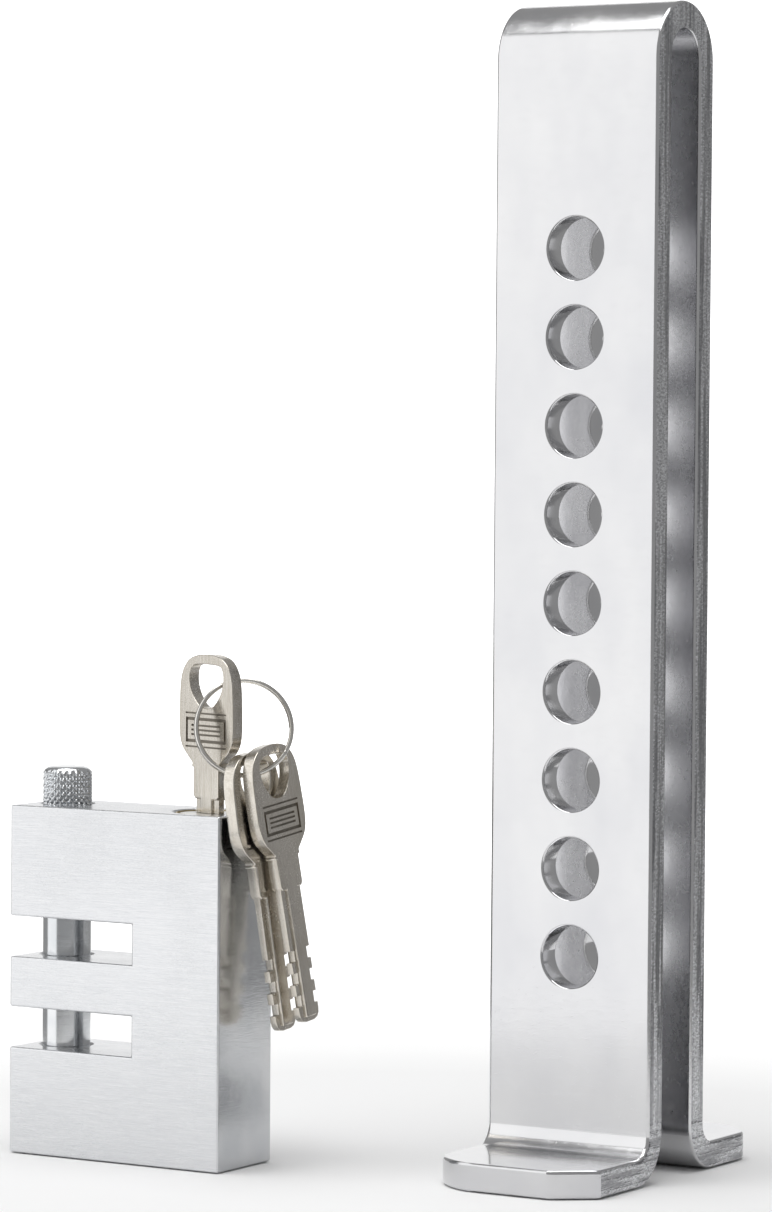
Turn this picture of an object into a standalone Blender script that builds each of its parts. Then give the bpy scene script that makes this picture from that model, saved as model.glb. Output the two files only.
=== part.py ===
"""Pedal lock: hairpin bar on two feet, slotted block padlock, locking pin, key cylinder, ring and keys.

World frame in metres, +Z up, floor at Z = 0, origin under the middle of the whole set.
The bar stands with its strip width along X and its two legs facing -Y and +Y.
"""
import math

import bmesh
import bpy
from mathutils import Matrix, Vector

MM = 0.001

# ---- hairpin bar ---------------------------------------------------------------------------
BAR_X = 45.05           # bar middle along X
BAR_Y = 4.25            # bar middle along Y
STRIP_W = 35.6          # strip width
STRIP_T = 5.4           # strip thickness
LEG_OUTER = 11.25       # bar middle to the outer face of a leg
BAR_H = 226.0           # floor to the top of the arch
FOOT_REACH = 25.1       # outer face of a leg to the foot's end
FOOT_BEND = 6.7         # bend radius of the strip's middle line
EDGE_R = 0.8            # rounding of the strip's long edges
HOLE_D = 12.0
HOLE_PITCH = 17.0
HOLE_COUNT = 9
HOLE_LOW = 42.6         # floor to the middle of the lowest hole

# ---- padlock block -------------------------------------------------------------------------
LOCK_X = -62.85         # left face
LOCK_Y = -40.6          # front face
LOCK_W = 49.4
LOCK_D = 19.0
LOCK_H = 69.0
SLOT_DEPTH = 29.0
SLOT_Z = ((21.0, 29.0), (39.0, 47.0))
LOCK_EDGE = 0.5
PIN_X = 7.1             # left face to the pin's axis
PIN_R = 4.75
PIN_BORE_R = 5.15
PIN_FLOOR = 8.0
PIN_TOP = 76.5
KNURL_LOW = 67.2
PIN_GROOVE_Z = (30.9, 37.1)
PIN_GROOVE_R = 3.2
CYL_X = 41.0            # left face to the key cylinder's axis
CYL_BORE_R = 7.3
CYL_FLOOR = 29.5
BOLT_Z = 34.0
BOLT_R = 2.5
BOLT_BORE_R = 2.8
BOLT_TIP = 12.4
BOLT_TAIL = 35.7
YOKE_X = (3.0, 3.6)      # yoke plate, left and right of the cylinder axis

# ---- key cylinder --------------------------------------------------------------------------
HOUSING_R = 7.0
HOUSING_BORE_R = 5.6
HOUSING_Z = (42.0, 68.9)
CROSS_PIN = (-7.0, 44.3)   # beside the cylinder axis, above the floor
PLUG_R = 5.3
PLUG_Z = (41.2, 68.7)
PLUG_HEAD_R = 6.2
PLUG_HEAD_Z = 67.5
KEY_ANGLE = -18.0       # key's width against the block's front face
KEY_TIP = 45.2
TUMBLER_Z = (49.5, 53.9, 58.3, 62.7)
TUMBLER_T = 1.2
TUMBLER_HALF = 2.6
TUMBLER_R = 5.0
CAM_Z = (38.9, 40.9)
CAM_R = 6.3
CAM_PIN_OFF = 1.7       # half a stroke per quarter turn
CAM_PIN_R = 1.2

# ---- keys and ring -------------------------------------------------------------------------
KEY_LEN = 54.5
KEY_T = 2.5
BOW_HALF = 8.4
NECK_HALF = 3.9
RIB_HALF = 1.75
FIN_HALF = 3.5
FIN_T = 1.4
RING_R = 9.3            # middle of the wire
RING_WIRE = 0.92
RING_TURN_GAP = 0.12
RING_AZ = 38.0
RING_LEAN = 10.5
RING_CONTACT = (2.5, 48.2)     # where the wire crosses the key's middle plane (across, up)
RING_HANG = 121.0              # place of that crossing round the ring
SPARE_AT = (-55.0, -80.0)      # places round the ring where the spare keys hang
SPARE_AZ = 90.0
SPARE_TILT = (9.0, 8.0)
SPARE_HOLE = ((0.9, 50.0), (0.9, 50.0))

CX = LOCK_X + CYL_X
CY = LOCK_Y + LOCK_D / 2.0


# ---- helpers -------------------------------------------------------------------------------
def clear_scene():
    for obj in list(bpy.data.objects):
        bpy.data.objects.remove(obj, do_unlink=True)


def material(name, color, metallic=1.0, rough=0.3):
    mat = bpy.data.materials.new(name)
    mat.use_nodes = True
    shader = mat.node_tree.nodes["Principled BSDF"]
    shader.inputs["Base Color"].default_value = (*color, 1.0)
    shader.inputs["Metallic"].default_value = metallic
    shader.inputs["Roughness"].default_value = rough
    mat.diffuse_color = (*color, 1.0)
    return mat


def from_bmesh(name, bm):
    bmesh.ops.remove_doubles(bm, verts=bm.verts, dist=1e-7)
    bmesh.ops.recalc_face_normals(bm, faces=bm.faces)
    if bm.calc_volume(signed=True) < 0:
        bmesh.ops.reverse_faces(bm, faces=bm.faces)
    mesh = bpy.data.meshes.new(name)
    bm.to_mesh(mesh)
    bm.free()
    obj = bpy.data.objects.new(name, mesh)
    bpy.context.scene.collection.objects.link(obj)
    return obj


def prism(name, points, low, high, axis="Z"):
    """Closed outline points in mm, extruded from low to high along the axis."""
    bm = bmesh.new()

    def place(a, b, c):
        if axis == "Z":
            return Vector((a, b, c)) * MM
        if axis == "Y":
            return Vector((a, c, b)) * MM
        return Vector((c, a, b)) * MM

    bottom = [bm.verts.new(place(a, b, low)) for a, b in points]
    top = [bm.verts.new(place(a, b, high)) for a, b in points]
    bm.faces.new(bottom)
    bm.faces.new(top)
    count = len(points)
    for i in range(count):
        j = (i + 1) % count
        bm.faces.new((bottom[i], bottom[j], top[j], top[i]))
    return from_bmesh(name, bm)


def box(name, low, high):
    points = [(low[0], low[1]), (high[0], low[1]), (high[0], high[1]), (low[0], high[1])]
    return prism(name, points, low[2], high[2])


def circle(cx, cy, radius, count=48, start=0.0):
    out = []
    for i in range(count):
        a = start + 2.0 * math.pi * i / count
        out.append((cx + radius * math.cos(a), cy + radius * math.sin(a)))
    return out


def revolve(name, profile, centre, count=48, tube=False):
    """Profile of (radius, z) about a Z line: axis point to axis point, or a closed tube section."""
    bm = bmesh.new()
    rings = []
    for radius, z in profile:
        if radius < 1e-6:
            rings.append([bm.verts.new(Vector((centre[0], centre[1], z)) * MM)])
            continue
        ring = []
        for x, y in circle(centre[0], centre[1], radius, count):
            ring.append(bm.verts.new(Vector((x, y, z)) * MM))
        rings.append(ring)
    pairs = list(zip(rings, rings[1:]))
    if tube:
        pairs.append((rings[-1], rings[0]))
    for lower, upper in pairs:
        for i in range(count):
            j = (i + 1) % count
            if len(lower) == 1:
                bm.faces.new((lower[0], upper[j], upper[i]))
            elif len(upper) == 1:
                bm.faces.new((lower[i], lower[j], upper[0]))
            else:
                bm.faces.new((lower[i], lower[j], upper[j], upper[i]))
    return from_bmesh(name, bm)


def sweep(name, stations):
    """Closed body through a list of equal-length rings of points, with flat end caps."""
    bm = bmesh.new()
    rings = [[bm.verts.new(Vector(p) * MM) for p in ring] for ring in stations]
    count = len(rings[0])
    for a, b in zip(rings, rings[1:]):
        for i in range(count):
            j = (i + 1) % count
            bm.faces.new((a[i], a[j], b[j], b[i]))
    bm.faces.new(list(reversed(rings[0])))
    bm.faces.new(rings[-1])
    return from_bmesh(name, bm)


def hide_tool(obj):
    obj.hide_render = True
    obj.display_type = "WIRE"


def boolean(obj, tools, operation="DIFFERENCE"):
    for tool in tools:
        mod = obj.modifiers.new("cut", "BOOLEAN")
        mod.operation = operation
        mod.solver = "EXACT"
        mod.object = tool
        hide_tool(tool)


def settle(obj, sharp=32.0, bevel=0.0, segments=2, limit=40.0):
    """Turn the finished modifiers into plain mesh, then smooth the round faces."""
    if bevel > 0.0:
        mod = obj.modifiers.new("edge", "BEVEL")
        mod.width = bevel * MM
        mod.segments = segments
        mod.limit_method = "ANGLE"
        mod.angle_limit = math.radians(limit)
        mod.use_clamp_overlap = True
    tools = [m.object for m in obj.modifiers if m.type == "BOOLEAN"]
    graph = bpy.context.evaluated_depsgraph_get()
    mesh = bpy.data.meshes.new_from_object(obj.evaluated_get(graph))
    mesh.name = obj.name
    obj.modifiers.clear()
    obj.data = mesh
    for tool in tools:
        bpy.data.objects.remove(tool, do_unlink=True)
    bm = bmesh.new()
    bm.from_mesh(mesh)
    bmesh.ops.remove_doubles(bm, verts=bm.verts, dist=2e-6)
    bmesh.ops.dissolve_degenerate(bm, edges=bm.edges, dist=1e-6)
    bmesh.ops.triangulate(bm, faces=[f for f in bm.faces if len(f.verts) > 4])
    for face in bm.faces:
        face.smooth = True
    for edge in bm.edges:
        if len(edge.link_faces) == 2 and edge.calc_face_angle(0.0) > math.radians(sharp):
            edge.smooth = False
    bm.to_mesh(mesh)
    bm.free()
    return obj


def dress(obj, mat, pivot):
    """Own material, and the origin moved to the pivot in mm."""
    obj.data.materials.clear()
    obj.data.materials.append(mat)
    move = Vector(pivot) * MM
    obj.data.transform(Matrix.Translation(-move))
    obj.location = move
    return obj


def smooth_outline(points, steps=5):
    """Closed smooth curve through the points."""
    out = []
    count = len(points)
    for i in range(count):
        p0 = Vector(points[i - 1])
        p1 = Vector(points[i])
        p2 = Vector(points[(i + 1) % count])
        p3 = Vector(points[(i + 2) % count])
        for k in range(steps):
            t = k / steps
            a = 2.0 * p1 + (p2 - p0) * t
            b = (2.0 * p0 - 5.0 * p1 + 4.0 * p2 - p3) * t * t
            c = (3.0 * p1 - p0 - 3.0 * p2 + p3) * t * t * t
            out.append(tuple((a + b + c) * 0.5))
    return out


def facing(az):
    """Horizontal outward direction, az degrees round from -Y toward +X."""
    a = math.radians(az)
    return Vector((math.sin(a), -math.cos(a), 0.0))


def across(az):
    a = math.radians(az)
    return Vector((math.cos(a), math.sin(a), 0.0))


# ---- hairpin bar ---------------------------------------------------------------------------
def foot_insets(side, reach):
    """How far the left and right edges of a foot stand in, at a distance from its end."""
    big = 0.0
    if reach < 9.5:
        f = 1.0 - reach / 9.5
        big = 12.5 * (1.0 - math.sqrt(max(0.0, 1.0 - f ** 1.7)))
        big = min(big, 12.5)
    small = 0.0
    if reach < 6.0:
        small = 8.0 * (1.0 - reach / 6.0)
    return (big, small) if side < 0 else (small, big)


def bar_path():
    """Stations of (y, z, tangent y, tangent z, left inset, right inset), front foot to back."""
    mid = LEG_OUTER - STRIP_T / 2.0
    low = STRIP_T / 2.0
    bend_y = mid + FOOT_BEND
    end_y = LEG_OUTER + FOOT_REACH
    out = []
    reaches = [0.0, 0.5, 1.2, 2.2, 3.4, 4.7, 6.0, 7.7, 9.5]
    for reach in reaches:
        a, b = foot_insets(-1, reach)
        out.append((-(end_y - reach), low, 1.0, 0.0, a, b))
    for i in range(7):
        a = math.radians(90.0 * i / 6)
        y = -bend_y + FOOT_BEND * math.sin(a)
        z = low + FOOT_BEND * (1.0 - math.cos(a))
        out.append((y, z, math.cos(a), math.sin(a), 0.0, 0.0))
    arch_z = BAR_H - LEG_OUTER
    for i in range(25):
        a = math.radians(180.0 * i / 24)
        y = -mid * math.cos(a)
        z = arch_z + mid * math.sin(a)
        out.append((y, z, math.sin(a), math.cos(a), 0.0, 0.0))
    for i in range(7):
        a = math.radians(90.0 * (6 - i) / 6)
        y = bend_y - FOOT_BEND * math.sin(a)
        z = low + FOOT_BEND * (1.0 - math.cos(a))
        out.append((y, z, math.cos(a), -math.sin(a), 0.0, 0.0))
    for reach in reversed(reaches):
        a, b = foot_insets(1, reach)
        out.append((end_y - reach, low, 1.0, 0.0, a, b))
    return out


def strip_section(left, right):
    """Rounded strip section as (across, outward) pairs."""
    half = STRIP_T / 2.0
    corners = ((right - EDGE_R, half - EDGE_R, 0.0), (left + EDGE_R, half - EDGE_R, 90.0),
               (left + EDGE_R, -half + EDGE_R, 180.0), (right - EDGE_R, -half + EDGE_R, 270.0))
    out = []
    for cx, cy, start in corners:
        for k in range(3):
            a = math.radians(start + 45.0 * k)
            out.append((cx + EDGE_R * math.cos(a), cy + EDGE_R * math.sin(a)))
    return out


def build_bar():
    stations = []
    for y, z, ty, tz, inset_l, inset_r in bar_path():
        left = -STRIP_W / 2.0 + inset_l
        right = STRIP_W / 2.0 - inset_r
        ring = []
        for a, b in strip_section(left, right):
            ring.append((BAR_X + a, BAR_Y + y - tz * b, z + ty * b))
        stations.append(ring)
    bar = sweep("u_bar", stations)
    tools = []
    for i in range(HOLE_COUNT):
        z = HOLE_LOW + HOLE_PITCH * i
        points = circle(BAR_X, z, HOLE_D / 2.0, 32)
        tools.append(prism("hole", points, BAR_Y - 20.0, BAR_Y + 20.0, "Y"))
    boolean(bar, tools)
    settle(bar)
    return bar


# ---- padlock -------------------------------------------------------------------------------
def build_block():
    x0, y0 = LOCK_X, LOCK_Y
    outline = [(x0, 0.0), (x0 + LOCK_W, 0.0), (x0 + LOCK_W, LOCK_H), (x0, LOCK_H)]
    for low, high in reversed(SLOT_Z):
        outline += [(x0, high), (x0 + SLOT_DEPTH, high), (x0 + SLOT_DEPTH, low), (x0, low)]
    block = prism("lock_body", outline, y0, y0 + LOCK_D, "Y")
    settle(block, bevel=LOCK_EDGE, segments=2)
    tools = []
    pin = circle(x0 + PIN_X, CY, PIN_BORE_R, 40)
    tools.append(prism("pin_bore", pin, PIN_FLOOR, LOCK_H + 5.0))
    tools.append(prism("cyl_bore", circle(CX, CY, CYL_BORE_R, 48), CYL_FLOOR, LOCK_H + 5.0))
    tools.append(prism("bolt_bore", circle(CY, BOLT_Z, BOLT_BORE_R, 24), x0 - 3.0, CX, "X"))
    pin_hole = circle(CX + CROSS_PIN[0], CROSS_PIN[1], 1.3, 20)
    tools.append(prism("cross_hole", pin_hole, CY - 4.5, y0 + LOCK_D + 3.0, "Y"))
    boolean(block, tools)
    settle(block)
    return block


def build_pin():
    x = LOCK_X + PIN_X
    r = PIN_R
    low, high = PIN_GROOVE_Z
    g = PIN_GROOVE_R
    profile = [(0.0, 8.3), (r - 1.2, 8.3), (r, 9.5), (r, low), (g, low), (g, high), (r, high),
               (r, KNURL_LOW), (r + 0.1, KNURL_LOW + 0.1), (r + 0.1, PIN_TOP - 1.3),
               (r - 0.25, PIN_TOP - 0.6), (r - 1.0, PIN_TOP - 0.1), (r - 1.9, PIN_TOP),
               (0.0, PIN_TOP)]
    pin = revolve("locking_pin", profile, (x, CY), 40)
    tools = []
    for i in range(20):
        a = 2.0 * math.pi * i / 20
        cx = x + (r + 0.42) * math.cos(a)
        cy = CY + (r + 0.42) * math.sin(a)
        tools.append(prism("flute", circle(cx, cy, 0.5, 6, a), KNURL_LOW + 1.9, PIN_TOP + 1.0))
    boolean(pin, tools)
    settle(pin)
    return pin


def build_housing():
    low, high = HOUSING_Z
    b = HOUSING_BORE_R
    r = HOUSING_R
    profile = [(b, low), (r, low), (r, high - 0.4), (r - 0.4, high), (6.5, high), (6.5, 67.2),
               (b, 67.2)]
    shell = revolve("cylinder_housing", profile, (CX, CY), 48, tube=True)
    tools = []
    for turn in (0.0, 90.0):
        u = across(KEY_ANGLE + turn)
        v = across(KEY_ANGLE + turn + 90.0)
        points = []
        for a, c in ((-6.2, -2.8), (6.2, -2.8), (6.2, 2.8), (-6.2, 2.8)):
            p = u * a + v * c
            points.append((CX + p.x, CY + p.y))
        tools.append(prism("groove", points, 46.6, 65.5))
    notch = circle(CX + CROSS_PIN[0], CROSS_PIN[1], 1.3, 20)
    tools.append(prism("notch", notch, CY - 4.5, CY + 15.0, "Y"))
    boolean(shell, tools)
    settle(shell)
    return shell


def plug_rect(u0, u1, v0, v1):
    u = across(KEY_ANGLE)
    v = across(KEY_ANGLE + 90.0)
    points = []
    for a, c in ((u0, v0), (u1, v0), (u1, v1), (u0, v1)):
        p = u * a + v * c
        points.append((CX + p.x, CY + p.y))
    return points


def build_plug():
    low, high = PLUG_Z
    r = PLUG_R
    profile = [(0.0, low), (r - 0.3, low), (r, low + 0.3), (r, PLUG_HEAD_Z), (PLUG_HEAD_R, PLUG_HEAD_Z),
               (PLUG_HEAD_R, high - 0.3), (PLUG_HEAD_R - 0.3, high), (0.0, high)]
    plug = revolve("cylinder_plug", profile, (CX, CY), 48)
    tools = [prism("way_wide", plug_rect(-3.8, 3.8, -1.0, 1.0), 43.6, high + 2.0)]
    tools.append(prism("way_rib", plug_rect(-2.1, 2.1, -1.8, 1.8), 43.6, high + 2.0))
    for z in TUMBLER_Z:
        tools.append(prism("slot", plug_rect(-8.0, 8.0, -2.9, 2.9), z - 0.9, z + 0.9))
        tools.append(prism("pocket", plug_rect(-2.2, 3.6, 2.0, 4.1), z - 0.9, z + 0.9))
    boolean(plug, tools)
    settle(plug)
    return plug


def build_tumbler(index):
    z = TUMBLER_Z[index]
    r = TUMBLER_R
    h = TUMBLER_HALF
    edge = math.asin(h / r)
    local = []
    for i in range(13):
        a = -edge + 2.0 * edge * i / 12
        local.append((r * math.cos(a), r * math.sin(a)))
    local += [(0.0, h), (0.0, 3.9), (-0.9, 3.9), (-0.9, h)]
    for i in range(13):
        a = math.pi - edge + 2.0 * edge * i / 12
        local.append((r * math.cos(a), r * math.sin(a)))
    u = across(KEY_ANGLE)
    v = across(KEY_ANGLE + 90.0)
    points = []
    for a, c in local:
        p = u * a + v * c
        points.append((CX + p.x, CY + p.y))
    leaf = prism("tumbler_%d" % (index + 1), points, z - TUMBLER_T / 2.0, z + TUMBLER_T / 2.0)
    boolean(leaf, [prism("window", plug_rect(-4.15, 4.15, -1.85, 1.85), z - 2.0, z + 2.0)])
    settle(leaf)
    return leaf


def coil(name, start, axis, side, radius, wire, turns, length, steps=10, ring=6):
    """Helical spring from start along the axis."""
    axis = axis.normalized()
    side = side.normalized()
    other = axis.cross(side)
    total = int(turns * steps)
    stations = []
    for i in range(total + 1):
        a = 2.0 * math.pi * i / steps
        radial = side * math.cos(a) + other * math.sin(a)
        centre = start + radial * radius + axis * (wire + (length - 2.0 * wire) * i / total)
        loop = []
        for k in range(ring):
            b = 2.0 * math.pi * k / ring
            loop.append(centre + radial * (wire * math.cos(b)) + axis * (wire * math.sin(b)))
        stations.append(loop)
    return sweep(name, stations)


def build_tumbler_spring(index):
    z = TUMBLER_Z[index]
    u = across(KEY_ANGLE)
    v = across(KEY_ANGLE + 90.0)
    start = Vector((CX, CY, z)) + u * 0.2 + v * 3.48
    spring = coil("tumbler_spring_%d" % (index + 1), start, u, v, 0.3, 0.1, 5, 3.2, 6, 4)
    settle(spring)
    return spring


def build_cam():
    low, high = CAM_Z
    disc = revolve("cam", [(0.0, low), (CAM_R - 0.3, low), (CAM_R, low + 0.3), (CAM_R, high),
                           (0.0, high)], (CX, CY), 48)
    pin = prism("cam_pin", circle(CX, CY - CAM_PIN_OFF, CAM_PIN_R, 24), 31.5, low + 1.0)
    boolean(disc, [pin], "UNION")
    settle(disc)
    return disc


def build_yoke():
    x0 = LOCK_X + BOLT_TAIL + 0.3
    x1 = CX - YOKE_X[0]
    x2 = CX + YOKE_X[1]
    plate = [(x0, CY - 2.3), (x1, CY - 2.3), (x1, CY - 4.6), (x2, CY - 4.6),
             (x2, CY + 4.4), (x1, CY + 4.4), (x1, CY + 2.3), (x0, CY + 2.3)]
    yoke = prism("bolt_yoke", plate, BOLT_Z - 2.4, BOLT_Z + 2.4)
    slot = box("slot", (CX - 1.65, CY - 3.5, BOLT_Z - 5.0), (CX + 1.65, CY + 1.9, BOLT_Z + 5.0))
    boolean(yoke, [slot])
    settle(yoke)
    return yoke


def build_rod(name, low, high, radius, centre, axis, count=24, nose=0.3):
    rod = prism(name, circle(centre[0], centre[1], radius, count), low, high, axis)
    settle(rod, bevel=nose, segments=1, limit=60.0)
    return rod


# ---- keys ----------------------------------------------------------------------------------
def mirrored(half):
    """Close a right-hand outline running bottom to top with its mirror image."""
    return half + [(-a, b) for a, b in reversed(half) if abs(a) > 1e-6]


def key_body(name):
    """Key in its own frame: width along X, thickness along Y, tip at Z = 0."""
    half = [(RIB_HALF, 0.9), (RIB_HALF, 26.2), (NECK_HALF - 0.5, 26.2), (NECK_HALF, 26.9),
            (NECK_HALF, 32.2), (4.3, 33.2), (5.6, 34.4), (7.1, 35.7), (8.0, 37.2), (BOW_HALF, 39.2),
            (BOW_HALF, 42.0), (8.3, 45.5), (8.1, 48.4), (7.6, 50.6), (6.6, 52.3), (5.1, 53.6),
            (2.9, 54.2), (0.0, KEY_LEN)]
    full = mirrored(half)
    flat = prism(name, full, -KEY_T / 2.0, KEY_T / 2.0, "Y")
    fin = [(1.4, 0.0), (2.6, 0.35), (3.3, 1.1), (FIN_HALF, 2.0)]
    for low in (3.2, 7.6, 12.0):
        fin += [(FIN_HALF, low), (2.1, low), (2.1, low + 2.2), (FIN_HALF, low + 2.2)]
    fin += [(FIN_HALF, 26.5), (2.0, 27.2)]
    fins = prism("fins", mirrored(fin), -FIN_T / 2.0, FIN_T / 2.0, "Y")
    boolean(flat, [fins], "UNION")
    hole = [(4.9, 51.4), (3.2, 52.4), (-3.2, 52.4), (-4.9, 51.4), (-5.1, 48.8), (-3.9, 46.2),
            (-1.6, 44.2), (1.6, 44.2), (3.9, 46.2), (5.1, 48.8)]
    boolean(flat, [prism("bow_hole", smooth_outline(hole, 3), -4.0, 4.0, "Y")])
    settle(flat)
    return flat


def ring_frame():
    lean = math.radians(RING_LEAN)
    face = facing(RING_AZ)
    normal = face * math.cos(lean) + Vector((0.0, 0.0, math.sin(lean)))
    level = across(RING_AZ)
    upward = normal.cross(level) * -1.0
    if upward.z < 0.0:
        upward = upward * -1.0
    contact = Vector((CX, CY, KEY_TIP + RING_CONTACT[1])) + across(KEY_ANGLE) * RING_CONTACT[0]
    a = math.radians(RING_HANG)
    centre = contact - (level * math.cos(a) + upward * math.sin(a)) * RING_R
    return contact, centre, level, upward, normal


def build_ring():
    contact, centre, level, upward, normal = ring_frame()
    turns = 1.92
    steps = 48
    total = int(turns * steps)
    pitch = RING_WIRE + RING_TURN_GAP
    stations = []
    for i in range(total + 1):
        a = 2.0 * math.pi * i / steps
        radial = level * math.cos(a) + upward * math.sin(a)
        shift = pitch * (i / steps - turns / 2.0)
        mid = centre + radial * RING_R + normal * shift
        loop = []
        for k in range(6):
            b = 2.0 * math.pi * (k + 0.5) / 6
            half = RING_WIRE / 2.0
            loop.append(mid + radial * (half * math.cos(b)) + normal * (half * math.sin(b)))
        stations.append(loop)
    ring = sweep("key_ring", stations)
    settle(ring)
    return ring


def place_key(obj, origin, az, tilt):
    """Key frame to world: face toward az, leaning by tilt about the ring's level direction."""
    u = across(az)
    v = facing(az) * -1.0
    w = Vector((0.0, 0.0, 1.0))
    turn = Matrix((u, v, w)).transposed()
    if tilt:
        turn = Matrix.Rotation(math.radians(tilt), 3, facing(RING_AZ)) @ turn
    obj.data.transform(turn.to_4x4())
    obj.data.transform(Matrix.Translation(Vector(origin) * MM))


def build_spare(index):
    contact, centre, level, upward, normal = ring_frame()
    key = key_body("spare_key_%d" % (index + 1))
    a = math.radians(SPARE_AT[index])
    hang = centre + (level * math.cos(a) + upward * math.sin(a)) * RING_R
    lean = Matrix.Rotation(math.radians(SPARE_TILT[index]), 3, facing(RING_AZ))
    hole = lean @ (across(SPARE_AZ) * SPARE_HOLE[index][0] + Vector((0.0, 0.0, SPARE_HOLE[index][1])))
    place_key(key, hang - hole, SPARE_AZ, SPARE_TILT[index])
    return key, hang


# ---- assembly ------------------------------------------------------------------------------
def main():
    clear_scene()
    chrome = material("chrome", (0.82, 0.83, 0.85), 1.0, 0.12)
    block_metal = material("block_metal", (0.78, 0.79, 0.81), 1.0, 0.28)
    pin_metal = material("pin_metal", (0.72, 0.74, 0.76), 1.0, 0.22)
    brass = material("cylinder_brass", (0.72, 0.58, 0.32), 1.0, 0.30)
    plug_metal = material("plug_metal", (0.66, 0.66, 0.64), 1.0, 0.30)
    leaf_metal = material("leaf_metal", (0.78, 0.62, 0.36), 1.0, 0.35)
    spring_metal = material("spring_metal", (0.60, 0.60, 0.62), 1.0, 0.30)
    steel = material("works_steel", (0.55, 0.56, 0.58), 1.0, 0.35)
    nickel = material("key_nickel", (0.62, 0.58, 0.52), 1.0, 0.34)
    ring_metal = material("ring_metal", (0.68, 0.66, 0.62), 1.0, 0.22)

    axis = (CX, CY, 0.0)
    dress(build_bar(), chrome, (BAR_X, BAR_Y, 0.0))
    dress(build_block(), block_metal, (LOCK_X + LOCK_W / 2.0, CY, 0.0))
    dress(build_pin(), pin_metal, (LOCK_X + PIN_X, CY, 8.3))
    dress(build_housing(), brass, (CX, CY, HOUSING_Z[0]))
    dress(build_plug(), plug_metal, axis)
    for i in range(len(TUMBLER_Z)):
        dress(build_tumbler(i), leaf_metal, (CX, CY, TUMBLER_Z[i]))
        dress(build_tumbler_spring(i), spring_metal, (CX, CY, TUMBLER_Z[i]))
    dress(build_cam(), steel, axis)
    x0 = LOCK_X
    bolt = build_rod("locking_bolt", x0 + BOLT_TIP, x0 + BOLT_TAIL, BOLT_R, (CY, BOLT_Z), "X")
    dress(bolt, steel, (x0 + BOLT_TIP, CY, BOLT_Z))
    dress(build_yoke(), steel, (CX, CY, BOLT_Z))
    stopper = build_rod("bore_stopper", x0 + 0.15, x0 + 1.7, BOLT_R, (CY, BOLT_Z), "X", nose=0.15)
    dress(stopper, block_metal, (x0 + 0.15, CY, BOLT_Z))
    cross_x = CX + CROSS_PIN[0]
    cross = build_rod("housing_pin", CY - 4.2, LOCK_Y + LOCK_D - 0.1, 1.0, (cross_x, CROSS_PIN[1]),
                      "Y", 20, 0.15)
    dress(cross, steel, (cross_x, CY, CROSS_PIN[1]))

    key = key_body("key_in_lock")
    place_key(key, (CX, CY, KEY_TIP), KEY_ANGLE, 0.0)
    dress(key, nickel, (CX, CY, KEY_TIP))
    ring = build_ring()
    dress(ring, ring_metal, ring_frame()[1])
    for i in range(2):
        spare, hang = build_spare(i)
        dress(spare, nickel, hang)


main()
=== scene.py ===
"""Pedal lock and its padlock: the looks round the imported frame."""
import math

import bmesh
import bpy
from mathutils import Matrix, Vector


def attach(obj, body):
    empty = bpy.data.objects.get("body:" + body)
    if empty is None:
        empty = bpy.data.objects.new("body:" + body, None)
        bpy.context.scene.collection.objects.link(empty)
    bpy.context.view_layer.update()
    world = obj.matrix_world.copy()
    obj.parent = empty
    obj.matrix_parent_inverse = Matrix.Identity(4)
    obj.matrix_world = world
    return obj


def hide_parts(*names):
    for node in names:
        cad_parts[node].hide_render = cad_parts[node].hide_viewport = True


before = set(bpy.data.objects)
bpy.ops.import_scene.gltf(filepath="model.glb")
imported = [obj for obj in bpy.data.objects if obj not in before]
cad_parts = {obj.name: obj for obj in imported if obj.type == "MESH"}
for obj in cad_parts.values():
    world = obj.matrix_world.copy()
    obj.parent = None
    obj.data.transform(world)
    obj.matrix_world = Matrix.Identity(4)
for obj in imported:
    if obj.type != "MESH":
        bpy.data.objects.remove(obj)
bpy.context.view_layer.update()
MM = 0.001

# ---- the frame's places, in mm -------------------------------------------------------------
BAR_X, BAR_Y = 45.05, 4.25
STRIP_W, STRIP_T = 35.6, 5.4
LEG_OUTER, BAR_H = 11.25, 226.0
FOOT_REACH, FOOT_BEND = 25.1, 6.7
HOLE_R, HOLE_PITCH, HOLE_LOW, HOLE_COUNT = 6.0, 17.0, 42.6, 9
HOLE_LIP = 0.45            # rounding of each hole's rim
LOCK_X, LOCK_Y = -62.85, -40.6
LOCK_W, LOCK_D, LOCK_H = 49.4, 19.0, 69.0
SLOT_DEPTH, SLOT_Z = 29.0, ((21.0, 29.0), (39.0, 47.0))
PIN_X, PIN_R, PIN_BORE_R, PIN_TOP = 7.1, 4.75, 5.15, 76.5
PIN_SIDES = 176
KNURL_ROWS, KNURL_TEETH, KNURL_CLIMB, KNURL_DEPTH = 40, 22, 0.72, 0.46
CYL_X, CYL_BORE_R = 41.0, 7.3
BOLT_HOLE = (34.0, 2.8)      # height and radius of the bolt's bore
CROSS_HOLE = (-7.0, 44.3, 1.3)  # X from the cylinder, height and radius
KEY_ANGLE, KEY_TIP, KEY_T = -18.0, 45.2, 2.5
RING_R, RING_WIRE, RING_AZ, RING_LEAN = 9.3, 0.92, 38.0, 10.5
RING_CONTACT, RING_HANG = (2.5, 48.2), 121.0
SPARE_AT, SPARE_AZ, SPARE_TILT = (-55.0, -80.0), 90.0, (9.0, 8.0)
SPARE_HOLE = ((0.9, 50.0), (0.9, 50.0))
CX, CY = LOCK_X + CYL_X, LOCK_Y + LOCK_D / 2.0


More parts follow.
